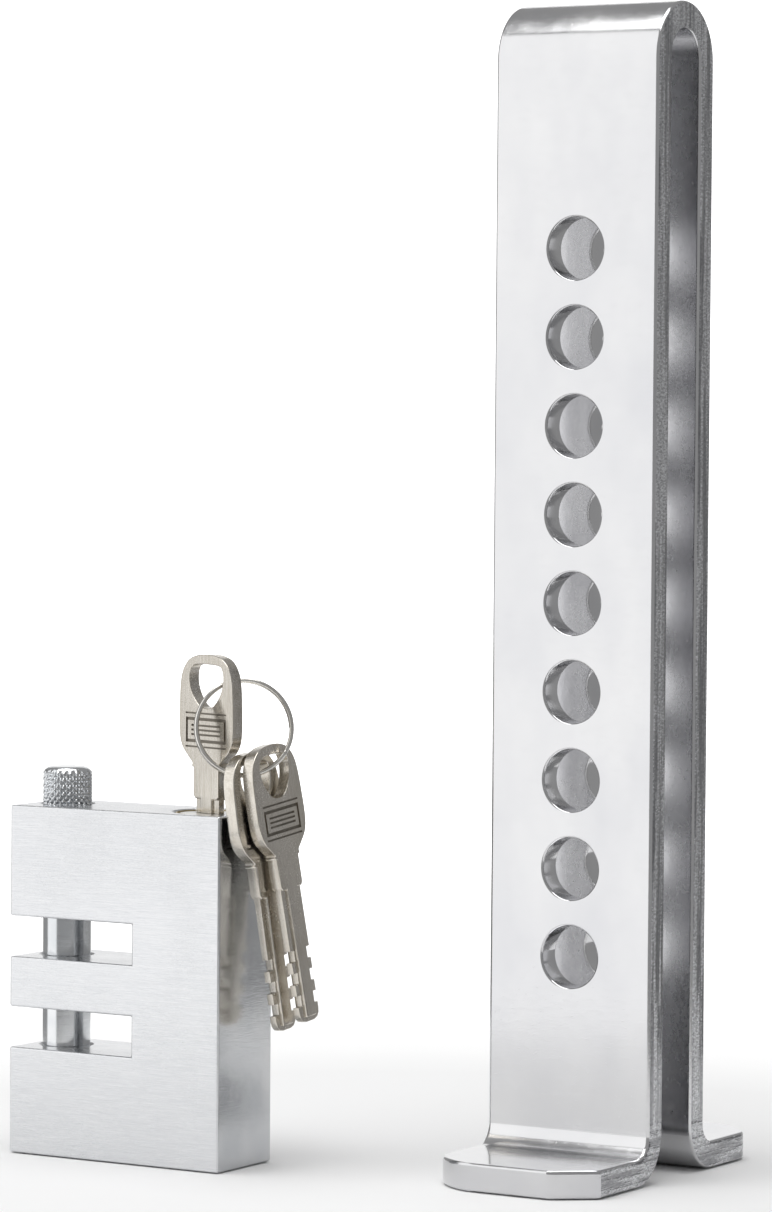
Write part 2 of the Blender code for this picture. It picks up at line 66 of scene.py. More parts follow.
# ---- mesh helpers --------------------------------------------------------------------------
PUT = {   # (a, b) across an axis and c along it, as X, Y, Z
    "X": lambda a, b, c: (c, a, b),
    "Y": lambda a, b, c: (a, c, b),
    "Z": lambda a, b, c: (a, b, c),
}


def link(name, bm):
    bmesh.ops.remove_doubles(bm, verts=bm.verts, dist=1e-7)
    bmesh.ops.recalc_face_normals(bm, faces=bm.faces)
    if bm.calc_volume(signed=True) < 0:
        bmesh.ops.reverse_faces(bm, faces=bm.faces)
    mesh = bpy.data.meshes.new(name)
    bm.to_mesh(mesh)
    bm.free()
    obj = bpy.data.objects.new(name, mesh)
    bpy.context.scene.collection.objects.link(obj)
    return obj


def prism(name, points, low, high, axis="Z"):
    bm = bmesh.new()
    put = PUT[axis]
    rings = [[bm.verts.new(Vector(put(a, b, c)) * MM) for a, b in points] for c in (low, high)]
    bm.faces.new(rings[0])
    bm.faces.new(rings[1])
    for i in range(len(points)):
        j = (i + 1) % len(points)
        bm.faces.new((rings[0][i], rings[0][j], rings[1][j], rings[1][i]))
    return link(name, bm)


def circle(cx, cy, radius, count=64):
    step = 2.0 * math.pi / count
    return [(cx + radius * math.cos(step * i), cy + radius * math.sin(step * i)) for i in range(count)]


def loft(name, rings, caps=True):
    """Closed body through equal rings of points in mm."""
    bm = bmesh.new()
    made = [[bm.verts.new(Vector(p) * MM) for p in ring] for ring in rings]
    count = len(made[0])
    for a, b in zip(made, made[1:]):
        for i in range(count):
            j = (i + 1) % count
            bm.faces.new((a[i], a[j], b[j], b[i]))
    if caps:
        bm.faces.new(list(reversed(made[0])))
        bm.faces.new(made[-1])
    return link(name, bm)


def turned(name, profile, centre, axis="Z", count=64):
    """Turned body: profile of (radius, along) in mm about a line along an axis."""
    put = PUT[axis]
    rings = []
    for radius, along in profile:
        rings.append([put(a, b, along) for a, b in circle(centre[0], centre[1], max(radius, 0.02), count)])
    return loft(name, rings)


def apply_all(obj):
    tools = [m.object for m in obj.modifiers if m.type == "BOOLEAN"]
    graph = bpy.context.evaluated_depsgraph_get()
    mesh = bpy.data.meshes.new_from_object(obj.evaluated_get(graph))
    obj.modifiers.clear()
    obj.data = mesh
    for tool in tools:
        bpy.data.objects.remove(tool, do_unlink=True)
    return obj


def cut(obj, tools, operation="DIFFERENCE"):
    for tool in tools:
        mod = obj.modifiers.new("cut", "BOOLEAN")
        mod.operation = operation
        mod.solver = "EXACT"
        mod.object = tool
    return apply_all(obj)


def bevel(obj, width, segments=3, limit=30.0):
    mod = obj.modifiers.new("edge", "BEVEL")
    mod.width = width * MM
    mod.segments = segments
    mod.limit_method = "ANGLE"
    mod.angle_limit = math.radians(limit)
    mod.use_clamp_overlap = True
    mod.harden_normals = False
    return apply_all(obj)


def smooth(obj, sharp=40.0):
    """Soft shading that keeps the broad faces flat."""
    bm = bmesh.new()
    bm.from_mesh(obj.data)
    bmesh.ops.remove_doubles(bm, verts=bm.verts, dist=2e-6)
    bmesh.ops.dissolve_degenerate(bm, edges=bm.edges, dist=1e-6)
    for face in bm.faces:
        face.smooth = True
    for edge in bm.edges:
        edge.smooth = not (len(edge.link_faces) == 2 and edge.calc_face_angle(0.0) > math.radians(sharp))
    bm.to_mesh(obj.data)
    bm.free()
    mod = obj.modifiers.new("normals", "WEIGHTED_NORMAL")
    mod.keep_sharp = True
    mod.weight = 80
    return obj


def smooth_outline(points, steps=6):
    out = []
    count = len(points)
    for i in range(count):
        p0, p1, p2, p3 = (Vector(points[(i + k) % count]) for k in (-1, 0, 1, 2))
        for k in range(steps):
            t = k / steps
            a = 2.0 * p1 + (p2 - p0) * t
            b = (2.0 * p0 - 5.0 * p1 + 4.0 * p2 - p3) * t * t
            c = (3.0 * p1 - p0 - 3.0 * p2 + p3) * t ** 3
            out.append(tuple((a + b + c) * 0.5))
    return out


def facing(az):
    a = math.radians(az)
    return Vector((math.sin(a), -math.cos(a), 0.0))


def across(az):
    a = math.radians(az)
    return Vector((math.cos(a), math.sin(a), 0.0))


# ---- materials -----------------------------------------------------------------------------
class Paint:
    """A bare metal: a small node tree built round one Principled shader."""

    def __init__(self, name):
        self.mat = bpy.data.materials.new(name)
        self.mat.use_nodes = True
        self.tree = self.mat.node_tree
        self.shader = self.tree.nodes["Principled BSDF"]
        self.shader.inputs["Metallic"].default_value = 1.0
        self.coord = self.tree.nodes.new("ShaderNodeTexCoord").outputs["Object"]
        self.height = None

    def node(self, kind, **values):
        made = self.tree.nodes.new(kind)
        for key, value in values.items():
            if key in made.inputs:
                made.inputs[key].default_value = value
            else:
                setattr(made, key, value)
        return made

    def join(self, a, b):
        self.tree.links.new(a, b)

    def noise(self, stretch, detail=3.0, rough=0.55, turn=(0.0, 0.0, 0.0)):
        """Noise whose stretch is cells per mm along X, Y, Z."""
        place = self.node("ShaderNodeMapping")
        place.inputs["Scale"].default_value = [s * 1000.0 for s in stretch]
        place.inputs["Rotation"].default_value = turn
        tex = self.node("ShaderNodeTexNoise", Scale=1.0, Detail=detail, Roughness=rough)
        self.join(self.coord, place.inputs["Vector"])
        self.join(place.outputs["Vector"], tex.inputs["Vector"])
        return tex.outputs["Fac"]

    def ramp(self, value, low, high, out_low=0.0, out_high=1.0):
        made = self.node("ShaderNodeMapRange")
        made.inputs["From Min"].default_value = low
        made.inputs["From Max"].default_value = high
        made.inputs["To Min"].default_value = out_low
        made.inputs["To Max"].default_value = out_high
        self.join(value, made.inputs["Value"])
        return made.outputs["Result"]

    def math(self, operation, a, b):
        made = self.node("ShaderNodeMath", operation=operation)
        for socket, value in zip(made.inputs, (a, b)):
            if isinstance(value, (int, float)):
                socket.default_value = value
            else:
                self.join(value, socket)
        return made.outputs[0]

    def tint(self, fac, low, high):
        made = self.node("ShaderNodeMix", data_type="RGBA")
        made.inputs["A"].default_value = (*low, 1.0)
        made.inputs["B"].default_value = (*high, 1.0)
        self.join(fac, made.inputs["Factor"])
        return made.outputs["Result"]

    def bump(self, height, depth_mm):
        made = self.node("ShaderNodeBump", Strength=1.0, Distance=depth_mm * MM)
        self.join(height, made.inputs["Height"])
        if self.height is not None:
            self.join(self.height, made.inputs["Normal"])
        self.height = made.outputs["Normal"]

    def finish(self, color, rough):
        self.join(color, self.shader.inputs["Base Color"])
        self.join(rough, self.shader.inputs["Roughness"])
        if self.height is not None:
            self.join(self.height, self.shader.inputs["Normal"])
        return self.mat


def chrome_plate():
    p = Paint("chrome_plate")
    cloud = p.noise((0.05, 0.05, 0.03), 3.0)
    haze = p.noise((0.35, 0.35, 0.9), 4.0)
    speck = p.noise((1.3, 1.3, 1.3), 2.0)
    p.bump(p.noise((0.06, 0.06, 0.035), 2.0), 0.06)
    p.bump(haze, 0.003)
    p.bump(p.ramp(speck, 0.66, 0.74), 0.006)
    color = p.tint(p.ramp(cloud, 0.3, 0.7), (0.60, 0.602, 0.62), (0.69, 0.69, 0.695))
    rough = p.math("ADD", p.ramp(cloud, 0.3, 0.7, 0.09, 0.16), p.ramp(haze, 0.45, 0.75, 0.0, 0.06))
    return p.finish(color, rough)


def chrome_inside():
    p = Paint("chrome_inside")
    cloud = p.noise((0.08, 0.08, 0.05), 3.0)
    grain = p.noise((1.1, 1.1, 0.7), 4.0)
    p.bump(cloud, 0.06)
    p.bump(grain, 0.010)
    axes = p.node("ShaderNodeSeparateXYZ")
    p.join(p.coord, axes.inputs["Vector"])
    # Painted light: a brighter band runs down the inner faces over the column of holes, standing in for light
    # that comes through the holes.
    right = p.ramp(axes.outputs["X"], (BAR_X + 7.0) * MM, (BAR_X + 11.0) * MM, 1.0, 0.0)
    left = p.ramp(axes.outputs["X"], (BAR_X - 11.0) * MM, (BAR_X - 7.0) * MM)
    painted_hole_light = p.math("MULTIPLY", right, left)
    shade = p.math("ADD", p.ramp(cloud, 0.3, 0.7, 0.0, 0.25), p.ramp(painted_hole_light, 0.0, 1.0, 0.0, 0.75))
    # Painted shade: the dark end of this tint is darker than the outer chrome, standing in for the shade
    # between the legs.
    color = p.tint(shade, (0.50, 0.50, 0.52), (0.97, 0.97, 0.975))
    rough = p.math("ADD", p.ramp(cloud, 0.3, 0.7, 0.20, 0.27), p.ramp(grain, 0.4, 0.8, 0.0, 0.08))
    return p.finish(color, rough)


def chrome_edge():
    p = Paint("chrome_sheared_edge")
    axes = p.node("ShaderNodeSeparateXYZ")
    p.join(p.coord, axes.inputs["Vector"])
    leg = p.ramp(axes.outputs["Z"], 8.0 * MM, 13.0 * MM)
    foot = p.ramp(axes.outputs["Z"], 8.0 * MM, 13.0 * MM, 1.0, 0.0)
    along_leg = p.math("MULTIPLY", p.noise((0.2, 0.85, 0.035), 3.0), leg)
    along_foot = p.math("MULTIPLY", p.noise((0.2, 0.06, 0.85), 3.0), foot)
    band = p.math("ADD", along_leg, along_foot)
    torn = p.noise((1.1, 1.1, 2.6), 4.0, 0.7, (0.5, 0.0, 0.0))
    zone = p.ramp(band, 0.42, 0.56)
    p.bump(band, 0.25)
    p.bump(p.math("MULTIPLY", torn, zone), 0.10)
    shade = p.math("MULTIPLY", p.ramp(torn, 0.38, 0.62, 0.30, 1.0), p.ramp(band, 0.38, 0.56, 0.25, 1.0))
    color = p.tint(shade, (0.17, 0.17, 0.18), (0.88, 0.89, 0.91))
    rough = p.math("ADD", p.ramp(zone, 0.0, 1.0, 0.14, 0.30), p.ramp(torn, 0.5, 0.8, 0.0, 0.12))
    return p.finish(color, rough)


def brushed_block():
    p = Paint("brushed_block")
    lines = p.noise((0.16, 0.5, 7.0), 5.0, 0.75)
    fine = p.noise((0.5, 2.0, 20.0), 3.0, 0.7)
    cross = p.noise((0.35, 0.35, 0.10), 3.0, 0.6)
    cloud = p.noise((0.06, 0.06, 0.05), 2.0)
    p.bump(lines, 0.022)
    p.bump(fine, 0.008)
    p.bump(cross, 0.03)
    mixed = p.math("ADD", p.ramp(lines, 0.25, 0.75, 0.0, 0.6), p.ramp(fine, 0.3, 0.7, 0.0, 0.4))
    color = p.tint(mixed, (0.56, 0.575, 0.60), (0.80, 0.80, 0.805))
    rough = p.math("ADD", p.ramp(cloud, 0.3, 0.7, 0.18, 0.26), p.ramp(fine, 0.4, 0.8, 0.0, 0.12))
    return p.finish(color, rough)


def polished_side():
    p = Paint("polished_side")
    lines = p.noise((0.5, 0.25, 5.0), 4.0, 0.7)
    cloud = p.noise((0.07, 0.07, 0.05), 3.0)
    p.bump(lines, 0.010)
    p.bump(cloud, 0.10)
    color = p.tint(p.ramp(cloud, 0.3, 0.7), (0.50, 0.515, 0.535), (0.66, 0.665, 0.67))
    rough = p.math("ADD", p.ramp(cloud, 0.3, 0.7, 0.11, 0.18), p.ramp(lines, 0.45, 0.8, 0.0, 0.08))
    return p.finish(color, rough)


def turned_steel(name, low, high, rough_low, rough_high, pitch=7.0):
    p = Paint(name)
    rings = p.noise((0.15, 0.15, pitch), 3.0, 0.6)
    cloud = p.noise((0.12, 0.12, 0.12), 2.0)
    p.bump(rings, 0.004)
    color = p.tint(p.ramp(cloud, 0.3, 0.7), low, high)
    rough = p.ramp(rings, 0.3, 0.75, rough_low, rough_high)
    return p.finish(color, rough)


def satin_nickel():
    p = Paint("satin_nickel")
    grain = p.noise((2.6, 2.6, 2.6), 4.0, 0.7)
    lines = p.noise((5.5, 1.0, 0.12), 3.0, 0.6)
    cloud = p.noise((0.12, 0.12, 0.10), 2.0)
    p.bump(lines, 0.012)
    p.bump(grain, 0.005)
    mixed = p.math("ADD", p.ramp(cloud, 0.3, 0.7, 0.0, 0.5), p.ramp(lines, 0.35, 0.65, 0.0, 0.5))
    color = p.tint(mixed, (0.54, 0.50, 0.435), (0.75, 0.715, 0.655))
    rough = p.math("ADD", p.ramp(cloud, 0.3, 0.7, 0.19, 0.26), p.ramp(grain, 0.45, 0.8, 0.0, 0.08))
    return p.finish(color, rough)


def nickel_groove():
    p = Paint("nickel_groove")
    cloud = p.noise((0.5, 0.5, 0.5), 3.0)
    p.bump(cloud, 0.01)
    color = p.tint(p.ramp(cloud, 0.3, 0.7), (0.15, 0.135, 0.11), (0.27, 0.245, 0.21))
    return p.finish(color, p.ramp(cloud, 0.3, 0.7, 0.34, 0.46))


def coat(obj, *mats):
    obj.data.materials.clear()
    for mat in mats:
        obj.data.materials.append(mat)
    return obj


CHROME, EDGE, INSIDE = chrome_plate(), chrome_edge(), chrome_inside()
BLOCK, SIDE = brushed_block(), polished_side()
PIN_STEEL = turned_steel("pin_steel", (0.62, 0.64, 0.66), (0.74, 0.75, 0.76), 0.12, 0.24)
BRASS = turned_steel("cylinder_brass", (0.58, 0.46, 0.26), (0.72, 0.60, 0.36), 0.22, 0.38)
PLUG = turned_steel("plug_nickel", (0.56, 0.55, 0.52), (0.68, 0.67, 0.64), 0.22, 0.36)
WORKS = turned_steel("works_steel", (0.46, 0.47, 0.49), (0.58, 0.59, 0.61), 0.26, 0.42)
LEAF = turned_steel("leaf_brass", (0.64, 0.50, 0.28), (0.78, 0.63, 0.38), 0.28, 0.42)
WIRE = turned_steel("spring_wire", (0.52, 0.53, 0.55), (0.64, 0.65, 0.66), 0.22, 0.34)
RING_METAL = turned_steel("ring_nickel", (0.66, 0.64, 0.60), (0.80, 0.78, 0.74), 0.12, 0.24, 2.0)
NICKEL, GROOVE = satin_nickel(), nickel_groove()

NODE_PAINT = {"cylinder_housing": BRASS, "cylinder_plug": PLUG, "cam": WORKS, "locking_bolt": WORKS,
              "bolt_yoke": WORKS, "housing_pin": WORKS, "bore_stopper": SIDE}
for i in range(1, 5):
    NODE_PAINT["tumbler_%d" % i] = LEAF
    NODE_PAINT["tumbler_spring_%d" % i] = WIRE
for name, mat in NODE_PAINT.items():
    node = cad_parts[name]
    for k in range(max(1, len(node.material_slots))):
        if node.material_slots:
            node.material_slots[k].material = mat
        else:
            node.data.materials.append(mat)


# ---- hairpin bar ---------------------------------------------------------------------------
def foot_insets(side, reach):
    big = small = 0.0
    if reach < 9.5:
        f = 1.0 - reach / 9.5
        big = 12.5 * (1.0 - math.sqrt(max(0.0, 1.0 - f ** 1.7)))
    if reach < 6.0:
        small = 8.0 * (1.0 - reach / 6.0)
    return (big, small) if side < 0 else (small, big)


def bar_path():
    mid = LEG_OUTER - STRIP_T / 2.0
    low = STRIP_T / 2.0
    bend_y = mid + FOOT_BEND
    end_y = LEG_OUTER + FOOT_REACH
    reaches = [0.0, 0.12, 0.3, 0.6, 1.1, 1.8, 2.8, 4.0, 5.2, 6.0, 7.0, 8.2, 9.5]
    out = [(-(end_y - r), low, 1.0, 0.0, *foot_insets(-1, r)) for r in reaches]
    for i in range(15):
        a = math.radians(90.0 * i / 14)
        out.append((-bend_y + FOOT_BEND * math.sin(a), low + FOOT_BEND * (1.0 - math.cos(a)),
                    math.cos(a), math.sin(a), 0.0, 0.0))
    arch_z = BAR_H - LEG_OUTER
    for i in range(65):
        a = math.radians(180.0 * i / 64)
        out.append((-mid * math.cos(a), arch_z + mid * math.sin(a), math.sin(a), math.cos(a), 0.0, 0.0))
    for i in range(15):
        a = math.radians(90.0 * (14 - i) / 14)
        out.append((bend_y - FOOT_BEND * math.sin(a), low + FOOT_BEND * (1.0 - math.cos(a)),
                    math.cos(a), -math.sin(a), 0.0, 0.0))
    return out + [(end_y - r, low, 1.0, 0.0, *foot_insets(1, r)) for r in reversed(reaches)]


def strip_section(left, right, shrink, radius=0.8):
    half = STRIP_T / 2.0 - shrink
    radius = max(0.1, radius - shrink)
    left, right = left + shrink, right - shrink
    corners = ((right - radius, half - radius, 0.0), (left + radius, half - radius, 90.0),
               (left + radius, -half + radius, 180.0), (right - radius, -half + radius, 270.0))
    out = []
    for cx, cy, start in corners:
        for k in range(6):
            a = math.radians(start + 18.0 * k)
            out.append((cx + radius * math.cos(a), cy + radius * math.sin(a)))
    return out


def build_bar():
    stations = bar_path()
    rings = []
    last = len(stations) - 1
    for n, (y, z, ty, tz, inset_l, inset_r) in enumerate(stations):
        near = min(n, last - n)
        shrink = (0.55, 0.25, 0.06, 0.0)[near] if near < 4 else 0.0
        left, right = -STRIP_W / 2.0 + inset_l, STRIP_W / 2.0 - inset_r
        rings.append([(BAR_X + a, BAR_Y + y - tz * b, z + ty * b)
                      for a, b in strip_section(left, right, shrink)])
    bar = loft("hairpin_bar", rings)
    inner = LEG_OUTER - STRIP_T
    tools = []
    for i in range(HOLE_COUNT):
        z = HOLE_LOW + HOLE_PITCH * i
        profile = []
        for face, out in ((-LEG_OUTER, -1), (-inner, 1), (inner, -1), (LEG_OUTER, 1)):
            turns = [math.radians(30.0 * k) for k in range(4)]
            arc = [(HOLE_R + HOLE_LIP * (1.0 - math.cos(a)), face - out * HOLE_LIP * (1.0 - math.sin(a)))
                   for a in turns]
            arc.append((HOLE_R + HOLE_LIP + 0.02, face + out * 1.2))
            profile += arc if out > 0 else list(reversed(arc))
        tools.append(turned("tool", [(r, BAR_Y + y) for r, y in profile], (BAR_X, z), "Y", 72))
    cut(bar, tools)
    smooth(bar, 38.0)
    coat(bar, CHROME, EDGE, INSIDE)
    for face in bar.data.polygons:
        x, y, z = (c / MM for c in face.center)
        x, y = abs(x - BAR_X), y - BAR_Y
        from_middle = math.hypot(y, max(0.0, z - BAR_H + LEG_OUTER))
        if abs(face.normal.x) > 0.8 and x > STRIP_W / 2.0 - 1.0:
            face.material_index = 1
        elif x < STRIP_W / 2.0 - 0.5 and from_middle < inner + 0.3 and z > 1.0:
            face.material_index = 2
    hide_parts("u_bar")
    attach(bar, "bar")


# ---- padlock -------------------------------------------------------------------------------
def build_block():
    x0, y0 = LOCK_X, LOCK_Y
    outline = [(x0, 0.0), (x0 + LOCK_W, 0.0), (x0 + LOCK_W, LOCK_H), (x0, LOCK_H)]
    for low, high in reversed(SLOT_Z):
        outline += [(x0, high), (x0 + SLOT_DEPTH, high), (x0 + SLOT_DEPTH, low), (x0, low)]
    block = prism("padlock_block", outline, y0, y0 + LOCK_D, "Y")
    bevel(block, 0.42, 3)
    r = PIN_BORE_R
    flare = [(r, 8.0)]
    for low, high in SLOT_Z:
        flare += [(r, low - 0.4), (r + 0.35, low - 0.05), (r + 0.36, (low + high) / 2.0)]
        flare += [(r + 0.35, high + 0.05), (r, high + 0.4)]
    flare += [(r, LOCK_H - 0.5), (r + 0.2, LOCK_H - 0.25), (r + 0.5, LOCK_H + 0.05)]
    flare.append((r + 0.6, LOCK_H + 3.0))
    tools = [turned("tool", flare, (x0 + PIN_X, CY), "Z", 72)]
    r = CYL_BORE_R
    bore = [(r, 29.5), (r, LOCK_H - 0.4), (r + 0.35, LOCK_H + 0.02), (r + 0.4, LOCK_H + 3.0)]
    tools.append(turned("tool", bore, (CX, CY), "Z", 80))
    tools.append(prism("tool", circle(CY, *BOLT_HOLE, 40), x0 - 3.0, CX, "X"))
    across_x, up_z, cross_r = CROSS_HOLE
    tools.append(prism("tool", circle(CX + across_x, up_z, cross_r, 32), CY - 4.5, y0 + LOCK_D + 3.0, "Y"))
    cut(block, tools)
    smooth(block, 38.0)
    coat(block, BLOCK, SIDE)
    for face in block.data.polygons:
        face.material_index = 1 if abs(face.normal.x) > 0.8 else 0
    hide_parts("lock_body")
    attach(block, "padlock")


def build_pin():
    x = LOCK_X + PIN_X
    r = PIN_R
    profile = [(0.0, 8.3), (r - 1.4, 8.3), (r - 1.2, 8.4), (r - 0.1, 9.5), (r, 9.9), (r, 30.6),
               (r - 0.3, 30.9), (3.3, 30.95), (3.2, 31.1), (3.2, 36.9), (3.3, 37.05), (r - 0.3, 37.1),
               (r, 37.4), (r, 66.6), (r - 0.3, 66.9), (r - 0.3, 67.3)]
    rings = [[(x + a, CY + b, z) for a, b in circle(0, 0, max(rad, 0.02), PIN_SIDES)] for rad, z in profile]
    low, high = 67.6, PIN_TOP - 1.0
    for n in range(KNURL_ROWS + 1):
        z = low + (high - low) * n / KNURL_ROWS
        climb = (z - low) * KNURL_CLIMB
        ring = []
        for i in range(PIN_SIDES):
            a = 2.0 * math.pi * i / PIN_SIDES
            turn = a * KNURL_TEETH / (2.0 * math.pi)
            one = abs(((turn + climb) % 1.0) - 0.5) * 2.0
            two = abs(((turn - climb) % 1.0) - 0.5) * 2.0
            groove = max(0.0, (max(one, two) - 0.35) / 0.65)
            rad = r + 0.12 - KNURL_DEPTH * groove ** 1.2
            if n in (0, KNURL_ROWS):
                rad = min(rad, r - 0.12)
            ring.append((x + rad * math.cos(a), CY + rad * math.sin(a), z))
        rings.append(ring)
    for rad, z in ((r - 0.35, PIN_TOP - 0.62), (r - 0.8, PIN_TOP - 0.26), (r - 1.5, PIN_TOP - 0.08),
                   (r - 2.4, PIN_TOP - 0.01), (0.0, PIN_TOP)):
        rings.append([(x + a, CY + b, z) for a, b in circle(0, 0, max(rad, 0.02), PIN_SIDES)])
    pin = loft("locking_pin_turned", rings)
    smooth(pin, 50.0)
    coat(pin, PIN_STEEL)
    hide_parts("locking_pin")
    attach(pin, "pin")


# ---- keys ----------------------------------------------------------------------------------
def mirrored(half):
    return half + [(-a, b) for a, b in reversed(half) if abs(a) > 1e-6]


def key_mesh(name):
    """Bow, stem and toothed fins, with a plain grooved panel on both faces."""
    bow_half = [(3.8, 32.3), (4.3, 33.2), (5.6, 34.4), (7.05, 35.75), (7.95, 37.3), (8.35, 39.4),
                (8.4, 42.0), (8.3, 45.5), (8.1, 48.4), (7.6, 50.6), (6.6, 52.3), (5.1, 53.55),
                (2.9, 54.25), (0.9, 54.45)]
    bow = smooth_outline(mirrored(bow_half), 5)
    half = KEY_T / 2.0
    plate = prism(name, bow, -half, half, "Y")
    hole = [(4.9, 51.4), (3.2, 52.4), (-3.2, 52.4), (-4.9, 51.4), (-5.1, 48.8), (-3.9, 46.2),
            (-1.6, 44.2), (1.6, 44.2), (3.9, 46.2), (5.1, 48.8)]
    cut(plate, [prism("tool", smooth_outline(hole, 4), -4.0, 4.0, "Y")])
    bevel(plate, 0.38, 3, 60.0)
    stem_half = [(1.75, 0.9), (1.75, 26.2), (3.4, 26.2), (3.9, 26.9), (3.9, 34.0)]
    stem = prism("tool", mirrored(stem_half), -half + 0.02, half - 0.02, "Y")
    bevel(stem, 0.3, 2, 60.0)
    fin = [(1.4, 0.0), (2.6, 0.35), (3.3, 1.1), (3.5, 2.0)]
    for low in (3.2, 7.6, 12.0):
        fin += [(3.5, low), (2.1, low), (2.1, low + 2.2), (3.5, low + 2.2)]
    fin += [(3.5, 26.5), (2.0, 27.2)]
    fins = prism("tool", mirrored(fin), -0.7, 0.7, "Y")
    bevel(fins, 0.12, 2, 60.0)
    cut(plate, [stem, fins], "UNION")
    tools = []
    for side in (-1.0, 1.0):
        panel = [(-6.3, 6.3, z, z + 0.35, 0.22) for z in (36.2, 42.75)]
        panel += [(-6.2, 6.2, z, z + 0.6, 0.32) for z in (37.2, 41.5)]
        panel += [(x, x + 0.6, 37.7, 41.6, 0.32) for x in (-6.2, 5.6)]
        panel += [(-4.5, 4.5, z, z + 0.4, 0.26) for z in (38.55, 39.45, 40.35)]
        for x0, x1, z0, z1, deep in panel:
            lo, hi = sorted((side * (half - deep), side * (half + 1.0)))
            tools.append(prism("tool", [(x0, z0), (x1, z0), (x1, z1), (x0, z1)], lo, hi, "Y"))
    cut(plate, tools)
    smooth(plate, 38.0)
    coat(plate, NICKEL, GROOVE)
    for face in plate.data.polygons:
        x, y, z = face.center / MM
        sunk = abs(y) < half - 0.1 and abs(face.normal.y) > 0.9
        face.material_index = 1 if sunk and abs(x) < 6.5 and 36.0 < z < 43.3 else 0
    return plate


def place_key(obj, origin, az, tilt, body, node):
    turn = Matrix((across(az), facing(az) * -1.0, Vector((0.0, 0.0, 1.0)))).transposed()
    if tilt:
        turn = Matrix.Rotation(math.radians(tilt), 3, facing(RING_AZ)) @ turn
    obj.matrix_world = Matrix.Translation(Vector(origin) * MM) @ turn.to_4x4()
    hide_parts(node)
    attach(obj, body)


def ring_frame():
    lean = math.radians(RING_LEAN)
    normal = facing(RING_AZ) * math.cos(lean) + Vector((0.0, 0.0, math.sin(lean)))
    level = across(RING_AZ)
    upward = level.cross(normal)
    upward = upward if upward.z > 0.0 else upward * -1.0
    contact = Vector((CX, CY, KEY_TIP + RING_CONTACT[1])) + across(KEY_ANGLE) * RING_CONTACT[0]
    a = math.radians(RING_HANG)
    centre = contact - (level * math.cos(a) + upward * math.sin(a)) * RING_R
    return centre, level, upward, normal


def build_ring():
    centre, level, upward, normal = ring_frame()
    turns, steps = 1.92, 120
    total = int(turns * steps)
    pitch = RING_WIRE + 0.12
    half = RING_WIRE / 2.0
    rings = []
    for i in range(total + 1):
        a = 2.0 * math.pi * i / steps
        radial = level * math.cos(a) + upward * math.sin(a)
        mid = centre + radial * RING_R + normal * (pitch * (i / steps - turns / 2.0))
        grow = half * min(1.0, 0.75 + 0.25 * min(i, total - i))
        rings.append([mid + radial * (grow * math.cos(b)) + normal * (grow * math.sin(b))
                      for b in (2.0 * math.pi * k / 14 for k in range(14))])
    ring = loft("split_ring", rings)
    smooth(ring, 50.0)
    coat(ring, RING_METAL)
    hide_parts("key_ring")
    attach(ring, "ring")


def build_keys():
    place_key(key_mesh("inserted_key"), (CX, CY, KEY_TIP), KEY_ANGLE, 0.0, "key", "key_in_lock")
    centre, level, upward, normal = ring_frame()
    for n in range(2):
        a = math.radians(SPARE_AT[n])
        hang = centre + (level * math.cos(a) + upward * math.sin(a)) * RING_R
        lean = Matrix.Rotation(math.radians(SPARE_TILT[n]), 3, facing(RING_AZ))
        origin = hang - lean @ (across(SPARE_AZ) * SPARE_HOLE[n][0] + Vector((0.0, 0.0, SPARE_HOLE[n][1])))
        place_key(key_mesh("hanging_key_%d" % (n + 1)), origin, SPARE_AZ, SPARE_TILT[n], "spare_%d" % (n + 1),
                  "spare_key_%d" % (n + 1))


build_bar()
build_block()
build_pin()
build_ring()
build_keys()


# ---- floor, lights and camera --------------------------------------------------------------
FLOOR_R, FLOOR_Z = 0.21, -0.0002
WALL_R, WALL_BEND = 2.8, 0.5
WORLD_STRENGTH = 0.34
CAMERA_AT = (492.2, -812.9, 146.4)        # mm
CAMERA_TURN = (31.245, 2.269, 0.414)      # yaw, pitch and roll in degrees
CAMERA_LENS = 142.809                     # mm on a 36 mm sensor
LIGHTS = (  # name, azimuth, elevation, distance in m, width and height in m, watts
    ("softbox_left", -44.0, 16.0, 2.1, (2.3, 2.8), 19.4),
    ("backdrop_light", 211.0, 12.0, 2.2, (1.5, 1.4), 4.7),
    ("softbox_top", -10.0, 82.0, 2.3, (2.0, 2.0), 38.0),
)


def paper_paint(name, glow):
    """Pale matt paper that glows a little more the further it is from the object."""
    mat = bpy.data.materials.new(name)
    mat.use_nodes = True
    tree = mat.node_tree
    shader = tree.nodes["Principled BSDF"]
    shader.inputs["Base Color"].default_value = (0.93, 0.93, 0.93, 1.0)
    shader.inputs["Roughness"].default_value = 0.95
    shader.inputs["Specular IOR Level"].default_value = 0.0
    shader.inputs["Emission Color"].default_value = (1.0, 1.0, 1.0, 1.0)
    coord = tree.nodes.new("ShaderNodeTexCoord")
    length = tree.nodes.new("ShaderNodeVectorMath")
    length.operation = "LENGTH"
    grow = tree.nodes.new("ShaderNodeMapRange")
    grow.inputs["From Min"].default_value = 0.12
    grow.inputs["From Max"].default_value = 0.7
    grow.inputs["To Min"].default_value = glow[0]
    grow.inputs["To Max"].default_value = glow[1]
    tree.links.new(coord.outputs["Object"], length.inputs[0])
    tree.links.new(length.outputs["Value"], grow.inputs["Value"])
    tree.links.new(grow.outputs["Result"], shader.inputs["Emission Strength"])
    return mat


